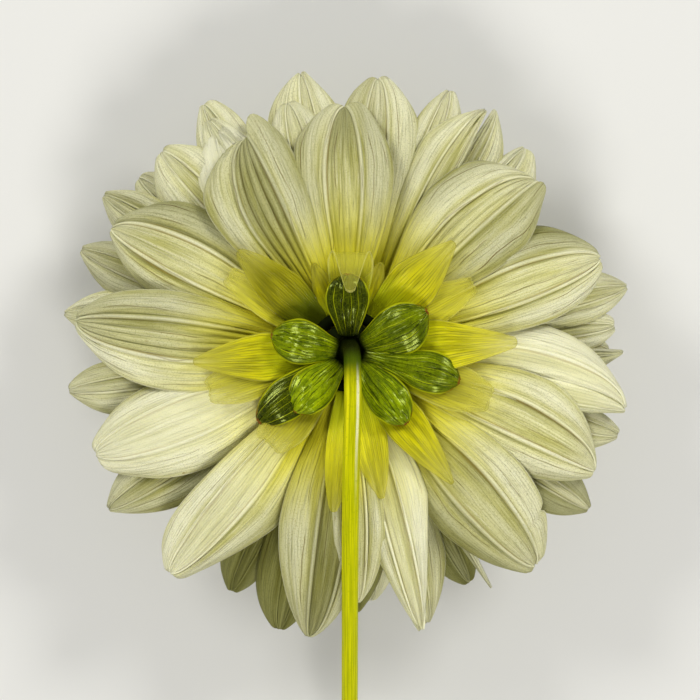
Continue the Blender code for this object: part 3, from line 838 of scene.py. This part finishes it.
def innerBractPoint(b, s, q):
    half = b["left"]["half"] * edgeShare(b, b["left"], s)
    radius, height, turn = bractMiddle(b, s)
    pleats, pleatHeight = innerBracts["pleats"]
    folds, foldHeight = innerBracts["folds"]
    rise = pleatHeight * math.cos(pleats * math.pi * q) * smooth(1.0, 0.9, abs(q))
    rise += foldHeight * math.cos(folds * math.pi * q) * smooth(0.0, 0.3, s)
    slow = noise.noise(Vector((4.0 * s + b["seed"], 1.3 * q, b["seed"])))
    rise += innerBracts["uneven"] * slow * smooth(0.1, 0.5, s)
    rise += innerBracts["edgeRise"] * half * q * q * smooth(0.1, 0.6, s)
    along = -innerBracts["tipCurve"] * half * q * q * s
    radius += along * math.cos(turn) - rise * math.sin(turn)
    height += along * math.sin(turn) + rise * math.cos(turn)
    return turnedTo(b["angle"], radius, half * q, height)


def makeInnerBracts(material, ringMaterial):
    blades = []
    for angle, reach, width, lift, bend, bendRadius, endLength, changes, dark in innerBracts["bracts"]:
        outline = {**innerBracts["outline"], **changes}
        blades.append(dict(
            bladeDefaults, **bothSides(width, **outline), angle=angle, reach=reach, lift=lift, bend=bend,
            bendRadius=bendRadius, endLength=endLength, seed=random.uniform(*seedRange),
            rootShare=innerBracts["rootShare"], tone=even(dark),
            glass=next((clear for least, clear in innerBracts["clear"] if bend > least), 0.0),
        ))
    addBlades("innerBracts", blades, innerBracts["grid"], material, "inner_bracts",
              innerBracts["thickness"], innerBractPoint)
    addTurned("innerBractRing", innerBracts["ring"], innerBracts["ringSteps"], ringMaterial,
              "inner_bracts")
    print("dahlia: inner bracts made")


outerBracts = {
    "thickness": 0.9, "grid": (40, 30), "root": (3.1, 36.0), "bellyShare": 0.5, "bellyHeight": 41.0,
    "tipHeight": 39.0, "shadow": 0.0, "rootShade": 0.0, "valleys": (0.0, 0.0), "ribHeight": 0.0,
    "ribShare": 0.34, "end": 0.06, "cup": 0.32,
    "form": {
        "rootShare": 0.42, "droop": 0.8, "lobe": 0.0, "middle": 0.0, "fine": 0.0, "wave": 0.0, "notch": 0.0,
    },
    # raised veins: place across, width and share of the height; then the heights of veins and lumps
    "veins": ((0.0, 0.06, 1.0), (0.34, 0.05, 0.6), (0.66, 0.05, 0.6), (0.94, 0.06, 0.8)),
    "veinHeight": 0.26, "lumpHeight": 0.30,
    "collar": ((3.4, 36.0), (5.9, 36.0), (5.9, 35.3), (3.4, 35.3)), "collarSteps": 48,
    # tip angle, reach, lift, turn of the root, left and right half width, widest, fullness, tone as painted
    # light and shade, changes
    "bracts": [
        (91, 16.4, 0.3, 0, 4.5, 4.2, 0.60, 2.0, 1.0, {}),
        (27, 18.6, 0.9, 0, 4.3, 6.2, 0.56, 1.7, 0.58, {}),
        (344.5, 24.2, -0.2, 4, 4.6, 3.8, 0.72, 1.8, 0.50, {"widen": 3.0, "rootShare": 0.32}),
        (308.5, 19.6, 0.6, 3, 4.5, 4.0, 0.60, 1.8, 0.10, {}),
        (228, 17.2, 0.8, -3, 4.0, 4.8, 0.58, 1.8, -0.15, {}),
        (218, 24.4, -0.4, -8, 4.0, 4.4, 0.62, 1.7, 1.2, {}),
        (169, 16.7, 0.5, -6, 4.5, 4.5, 0.55, 1.8, 0.35, {"root": (2.4, 36.2)}),
    ],
}


def outerBractPoint(b, s, q):
    point = bladePoint(b, s, q)
    veins = sum(share * bell(abs(q) - place, width) for place, width, share in outerBracts["veins"])
    lumps = noise.noise(Vector((7.0 * s, 3.0 * q, b["seed"])))
    rise = outerBracts["veinHeight"] * veins * smooth(0.05, 0.3, s) + outerBracts["lumpHeight"] * lumps
    point.z += rise * mm
    return point


def makeOuterBracts(material, collarMaterial):
    blades = []
    for angle, reach, lift, sweep, left, right, widest, full, dark, changes in outerBracts["bracts"]:
        sides = {}
        for name, half in (("left", left), ("right", right)):
            sides[name] = edgeOf(half, widest, full, outerBracts["end"], 0.0, half * outerBracts["ribShare"])
            sides[name]["cup"] = outerBracts["cup"]
        own = {**outerBracts["form"], "tone": even(dark), **changes}
        blades.append(rowBlade(outerBracts, angle, reach, lift, sweep, sides, own))
    addBlades("outerBracts", blades, outerBracts["grid"], material, "outer_bracts",
              outerBracts["thickness"], outerBractPoint)
    addTurned("bractCollar", outerBracts["collar"], outerBracts["collarSteps"], collarMaterial,
              "outer_bracts")
    print("dahlia: outer bracts made")


stalk = {
    # middle line from the seat over the bend to the cut end: X, Y, Z and radius
    "route": [
        (0.0, 0.0, 31.5, 5.8), (0.0, 0.0, 33.2, 5.6), (0.1, 0.1, 34.6, 3.2), (0.2, 0.3, 36.6, 2.1),
        (0.4, 0.3, 39.0, 1.85), (0.65, -1.1, 41.9, 1.8), (0.75, -4.8, 43.3, 1.8), (0.75, -12.0, 43.5, 1.8),
        (0.4, -24.0, 42.4, 1.8), (0.2, -40.0, 39.6, 1.75), (0.15, -58.0, 34.8, 1.7), (0.1, -76.0, 28.4, 1.7),
        (0.0, -94.0, 20.0, 1.7), (-0.4, -110.0, 10.8, 1.75), (-0.9, -124.0, 2.1, 1.85),
    ],
    "along": 260, "around": 48, "step": 0.004,
    "flutes": 11, "fluteDepth": 0.035, "fluteSway": 1.5, "lumps": 0.02,
    # the cut end: a flat rim, then a slope down to the pith
    "cutRim": 0.35, "cutSlope": 0.35, "pithDepth": 0.5,
}


def stalkMiddle(t):
    # a smooth curve through the route's points
    route = stalk["route"]
    place = t * (len(route) - 1)
    first = min(int(place), len(route) - 2)
    x = place - first
    points = [route[int(clamp(first + k, 0, len(route) - 1))] for k in (-1, 0, 1, 2)]
    return [
        0.5 * (2 * q + (r - p) * x + (2 * p - 5 * q + 4 * r - u) * x * x + (3 * q - p - 3 * r + u) * x ** 3)
        for p, q, r, u in zip(*points)
    ]


def makeStalk(material, endMaterial):
    work = bmesh.new()
    uv = work.loops.layers.uv.new("bladeMap")
    bmesh.ops.create_grid(work, x_segments=stalk["along"], y_segments=stalk["around"], size=0.5)
    spots = {}
    for vertex in work.verts:
        t, turn = vertex.co.x + 0.5, 2 * math.pi * (vertex.co.y + 0.5)
        spots[vertex] = (vertex.co.y + 0.5, t)
        x, y, z, radius = stalkMiddle(t)
        last, following = (stalkMiddle(clamp(t + step))[:3] for step in (-stalk["step"], stalk["step"]))
        ahead = (Vector(following) - Vector(last)).normalized()
        right = Vector((1.0, 0.0, 0.0))
        right = (right - ahead * right.dot(ahead)).normalized()
        up = right.cross(ahead)
        sway = stalk["fluteSway"] * noise.noise(Vector((6 * t, 0, 1)))
        flute = stalk["fluteDepth"] * math.cos(stalk["flutes"] * turn + sway)
        lump = stalk["lumps"] * noise.noise(Vector((60 * t, math.cos(turn), math.sin(turn))))
        radius *= 1.0 + (flute + lump) * smooth(0.25, 0.4, t)
        vertex.co = (Vector((x, y, z)) + radius * (right * math.cos(turn) + up * math.sin(turn))) * mm
    mapFaces(work.faces, uv, spots)
    bmesh.ops.remove_doubles(work, verts=work.verts, dist=seamWeld)
    rims = [edge for edge in work.edges if edge.is_boundary]
    ends = bmesh.ops.holes_fill(work, edges=rims)["faces"]
    cut = min(ends, key=lambda face: face.calc_center_median().y)
    cut.material_index = 1
    bmesh.ops.recalc_face_normals(work, faces=work.faces)

    def inset(width, depth):
        return bmesh.ops.inset_region(
            work, faces=[cut], thickness=width * mm, depth=depth * mm, use_even_offset=True)["faces"]

    rim = inset(stalk["cutRim"], 0.0)
    inset(stalk["cutSlope"], -stalk["pithDepth"])
    for face in rim + [cut]:
        face.material_index = 1
        face.smooth = False
    piece = addPiece("stalk", work, material, "stem")
    piece.data.materials.append(endMaterial)
    print("dahlia: stalk made")


innerBractFinish = {
    "deep": (0.48, 0.45, 0.0008), "light": (0.92, 0.85, 0.003), "fibre": (1.0, 0.94, 0.04),
    "vein": (0.22, 0.21, 0.0008), "tip": (0.95, 0.89, 0.12), "clear": (0.74, 0.74, 0.16),
    "pale": (1.0, 0.94, 0.03), "rim": (1.0, 0.97, 0.40), "root": (0.60, 0.66, 0.006),
    "rootDark": (0.10, 0.135, 0.001), "darkValue": 0.35, "relief": 0.00036,
}


def innerBractMaterial():
    # thin yellow-green skin with many fine lengthwise veins, lighter and see-through at tip and edges, with
    # painted highlights on the clear bracts' rims and painted shade set by each bract's tone
    finish = innerBractFinish
    material, tree, shader = newMaterial("bractMembrane", {
        "Subsurface Weight": 0.1, "Subsurface Radius": (1.0, 0.9, 0.05), "Subsurface Scale": 0.0008,
        "Specular IOR Level": 0.4, "Specular Tint": tint((1.0, 0.95, 0.2)),
        "Coat Weight": 0.08, "Coat Roughness": 0.08,
    })
    across, along, side, stretched = bladeInputs(tree)
    tone, glass = attribute(tree, "tone"), attribute(tree, "fold")
    fine = stretched(15.0, 2.2, 1.2, 4.0, 0.7)
    soft = stretched(2.5, 1.6, 1.6)
    pleats = comb(tree, across, 9.0, stretched(1.0, 1.4, 1.2, 1.0), 1.8)
    veins = times(tree, ease(tree, pleats, 0.60, 0.05), ease(tree, fine, 0.36, 0.62))
    reach = timesPlus(tree, fine, 0.5, calc(tree, "SUBTRACT", along, 0.25))
    tipShare = larger(tree, ease(tree, reach, 0.48, 0.95), ease(tree, side, 0.92, 0.985))
    # painted highlight: a light rim along the edges and end of the clear bracts
    rim = times(tree, glass, larger(tree, ease(tree, side, 0.84, 0.98), ease(tree, along, 0.97, 0.99)))

    colour = blend(tree, ease(tree, soft, 0.34, 0.60), tint(finish["deep"]), tint(finish["light"]))
    colour = painted(tree, colour, finish, [
        (ease(tree, fine, 0.50, 0.62), 0.55, "fibre"),
        (veins, 0.70, "vein"),
        (tipShare, 0.70, "tip"),
        (glass, 0.4, "clear"),
    ])
    # painted shade: a bract darkens by its tone, less towards the tip
    shadeShare = times(tree, tone, timesPlus(tree, tipShare, -0.6, 1.0))
    colour = blend(tree, shadeShare, colour, darkened(tree, colour, finish["darkValue"]))
    # painted light where the tone is below 0, and the painted highlight of the rim
    colour = painted(tree, colour, finish, [
        (ease(tree, tone, 0.0, -1.0), 1.0, "pale"),
        (rim, 0.4, "rim"),
    ])
    # the root is green, and darker as painted shade where the tone is high
    rootColour = blend(tree, ease(tree, tone, 0.45, 1.0), tint(finish["root"]), tint(finish["rootDark"]))
    colour = blend(tree, times(tree, ease(tree, reach, 0.52, 0.18), 0.92), colour, rootColour)

    solid = timesPlus(tree, rim, 0.20, timesPlus(tree, glass, -0.80, 1.0))
    clear = times(tree, tipShare, timesPlus(tree, glass, -0.62, 0.62))
    height = timesPlus(tree, fine, 0.6, times(tree, veins, -0.35))
    relief = bump(tree, height, 1.0, finish["relief"])
    dress(tree, shader, {
        "Base Color": colour, "Roughness": timesPlus(tree, fine, 0.30, 0.24),
        "Alpha": calc(tree, "SUBTRACT", solid, clear), "Normal": relief, "Coat Normal": relief,
    })
    return material


outerBractFinish = {
    "deep": (0.11, 0.175, 0.0005), "light": (0.34, 0.455, 0.001), "cell": (0.06, 0.09, 0.0003),
    "pale": (0.60, 0.70, 0.01), "line": (0.014, 0.026, 0.0003), "net": (0.36, 0.42, 0.002),
    "vein": (0.60, 0.66, 0.006), "besideEdge": (0.020, 0.036, 0.0003), "edge": (0.62, 0.66, 0.01),
    "rust": (0.24, 0.05, 0.006), "root": (0.008, 0.014, 0.0003), "darkValue": 0.16, "relief": 0.0003,
}


def outerBractMaterial():
    # fleshy green with a net of light veins, a light margin and a rust-red tip, painted near black at the
    # root as shade, with painted shade on dark-toned bracts and a painted highlight on pale-toned ones
    finish = outerBractFinish
    material, tree, shader = newMaterial("bractGreen", {
        "Subsurface Weight": 0.06, "Subsurface Radius": (0.5, 1.0, 0.05), "Subsurface Scale": 0.0006,
        "Specular IOR Level": 0.5, "Specular Tint": tint((0.85, 1.0, 0.24)),
    })
    across, along, side, stretched = bladeInputs(tree)
    tone, place = attribute(tree, "tone"), objectPlace(tree)
    sway = stretched(1.0, 1.5, 1.3, 1.0)
    patches = stretched(3.0, 3.4, 1.3, 4.0, 0.6)
    broken = stretched(9.0, 4.0, 1.5, 3.0, 0.6)
    cells = cloud(tree, place, 2300.0, 3.0, 0.7)
    net = wired(tree, "ShaderNodeTexVoronoi", {"Vector": place, "Scale": 1100.0}, feature="DISTANCE_TO_EDGE")
    # the main veins run from root to tip, with fine dark lines between them
    veins = ease(tree, comb(tree, across, 2.6, sway, 0.7), 0.13, 0.03)
    veins = times(tree, veins, ease(tree, patches, 0.34, 0.50))
    lines = ease(tree, comb(tree, across, 6.0, sway, 2.6), 0.42, 0.10)
    lines = times(tree, lines, ease(tree, broken, 0.36, 0.52))
    rust = times(tree, ease(tree, side, 0.88, 0.98), ease(tree, along, 0.84, 0.98))
    rust = larger(tree, rust, ease(tree, along, 0.97, 0.995))

    colour = blend(tree, ease(tree, patches, 0.34, 0.66), tint(finish["deep"]), tint(finish["light"]))
    colour = painted(tree, colour, finish, [
        (ease(tree, cells, 0.46, 0.62), 0.45, "cell"),
        # painted highlight: a bract whose tone is below 0 is paler
        (ease(tree, tone, 0.0, -1.0), 1.0, "pale"),
        (lines, 0.90, "line"),
    ])
    # painted shade: a bract darkens by its tone
    colour = blend(tree, tone, colour, darkened(tree, colour, finish["darkValue"]))
    colour = painted(tree, colour, finish, [
        (ease(tree, net.outputs["Distance"], 0.10, 0.01), 0.12, "net"),
        (veins, 0.75, "vein"),
        (ease(tree, side, 0.82, 0.92), 0.5, "besideEdge"),
        (ease(tree, side, 0.93, 0.985), 0.85, "edge"),
        (rust, 0.85, "rust"),
        # painted shade: near black at the root, where it stands in the recess
        (ease(tree, along, 0.14, 0.0), 1.0, "root"),
    ])
    height = timesPlus(tree, cells, 0.22, times(tree, lines, -0.6))
    dress(tree, shader, {
        "Base Color": colour, "Roughness": timesPlus(tree, cells, 0.16, 0.10),
        "Normal": bump(tree, height, 0.6, finish["relief"]),
    })
    return material


shadeFinish = {"deep": (0.003, 0.005, 0.0008), "light": (0.012, 0.018, 0.002)}


def shadeMaterial():
    # painted shade: near black for the recess that the bracts' narrow roots stand in
    material, tree, shader = newMaterial("bractShade", {"Specular IOR Level": 0.05, "Roughness": 0.9})
    grain = cloud(tree, objectPlace(tree), 700.0, 3.0, 0.6)
    dress(tree, shader, {
        "Base Color": blend(tree, grain, tint(shadeFinish["deep"]), tint(shadeFinish["light"])),
    })
    return material


stalkFinish = {
    "deep": (0.38, 0.41, 0.002), "light": (0.66, 0.655, 0.004), "speck": (0.36, 0.40, 0.004),
    "neckShade": (0.05, 0.09, 0.001), "paintedHollowShade": (0.004, 0.007, 0.0005),
    "upperHighlight": (1.0, 0.98, 0.62), "sideHighlight": (0.90, 0.84, 0.010),
    # painted highlight lines along the first part: place round the stalk, half width, strength and paint;
    # then their end
    "lines": ((0.855, 0.045, 1.0, "upperHighlight"), (0.64, 0.06, 0.9, "sideHighlight")), "linesEnd": (0.62, 0.50),
    "relief": 0.0003,
}


def stalkMaterial():
    # yellow-green skin with lengthwise stripes and specks, painted highlight stripes along its first part,
    # and painted shade where it stands between the bracts
    finish = stalkFinish
    material, tree, shader = newMaterial("stalkGreen", {
        "Subsurface Weight": 0.2, "Subsurface Radius": (0.8, 1.0, 0.1), "Subsurface Scale": 0.001,
        "Specular IOR Level": 0.2, "Specular Tint": tint((0.95, 1.0, 0.06)),
    })
    around, along = mapPlace(tree)
    turn = times(tree, around, 2 * math.pi)
    ring = [times(tree, calc(tree, wave, turn), 6.5) for wave in ("COSINE", "SINE")]
    stripes = cloud(tree, xyz(tree, *ring, times(tree, along, 14.0)), 1.3, 4.0, 0.7)
    specks = cloud(tree, objectPlace(tree), 900.0, 2.0, 0.6)
    colour = blend(tree, ease(tree, stripes, 0.36, 0.64), tint(finish["deep"]), tint(finish["light"]))
    layers = []
    # painted highlights: pale lines along the first part
    for place, width, strength, paint in finish["lines"]:
        pale = ease(tree, away(tree, around, place), width, width * 0.3)
        pale = times(tree, pale, ease(tree, along, *finish["linesEnd"]))
        layers.append((times(tree, pale, ease(tree, stripes, 0.30, 0.52)), strength, paint))
    colour = painted(tree, colour, finish, layers + [
        (ease(tree, specks, 0.60, 0.72), 0.35, "speck"),
        # painted shade: dark towards the neck and near black where the stalk stands between the bracts
        (ease(tree, along, 0.470, 0.39), 1.0, "neckShade"),
        (ease(tree, along, 0.40, 0.33), 1.0, "paintedHollowShade"),
    ])
    dress(tree, shader, {
        "Base Color": colour, "Roughness": timesPlus(tree, stripes, 0.25, 0.30),
        "Normal": bump(tree, stripes, 0.5, finish["relief"]),
    })
    return material


pithFinish = {"deep": (0.50, 0.54, 0.16), "light": (0.78, 0.80, 0.42), "relief": 0.0002}


def pithMaterial():
    # pale, grainy cut end
    values = {"Roughness": 0.7, "Subsurface Weight": 0.2, "Subsurface Scale": 0.001}
    material, tree, shader = newMaterial("cutPith", values)
    cells = cloud(tree, objectPlace(tree), 1500.0, 3.0, 0.6)
    share = ease(tree, cells, 0.35, 0.65)
    dress(tree, shader, {
        "Base Color": blend(tree, share, tint(pithFinish["deep"]), tint(pithFinish["light"])),
        "Normal": bump(tree, cells, 0.5, pithFinish["relief"]),
    })
    return material


setStudio()
petalCream = petalMaterial()
makeBackPetals(petalCream)
makeFacePetals(petalCream)
makeCore(petalCream)
hollowShade = shadeMaterial()
makeInnerBracts(innerBractMaterial(), hollowShade)
makeOuterBracts(outerBractMaterial(), hollowShade)
makeStalk(stalkMaterial(), pithMaterial())
